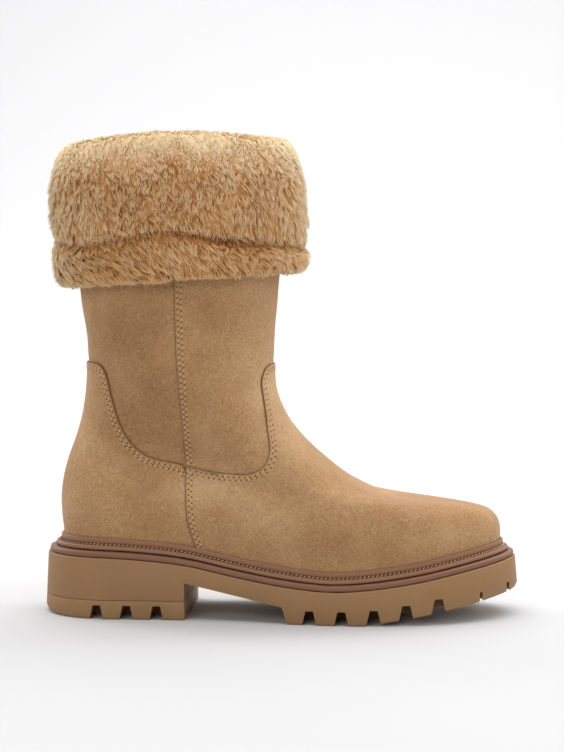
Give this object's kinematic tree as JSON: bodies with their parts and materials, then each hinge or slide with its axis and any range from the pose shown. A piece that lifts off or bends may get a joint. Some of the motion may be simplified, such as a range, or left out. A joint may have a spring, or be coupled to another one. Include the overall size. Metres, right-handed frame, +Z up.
{
  "type": "sheepskin boot",
  "caption": "Right ankle boot in tan suede with a turned-down fur cuff, overlaid toe and heel panels, stitched welt and notched rubber sole.",
  "frame": {"origin": "on the floor under the middle of the sole's length, at the middle of the cuff's width", "axes": "+X from heel to toe, +Y to the inner side of the right foot, +Z up"},
  "size_m": [0.2832, 0.1362, 0.284],
  "materials": {
    "suede": "tan suede with a soft nap",
    "fur": "long combed sheepskin pile",
    "fleece": "short clipped pile",
    "brown": "satin brown",
    "rubber": "matte tan rubber"
  },
  "bodies": {
    "root": {"upper": "suede", "vamp": "suede", "counter": "suede", "cuff": "fur", "insole": "fleece", "welt": "brown", "midsole": "brown", "outsole": "rubber", "heel_lift": "rubber"}
  },
  "joints": []
}
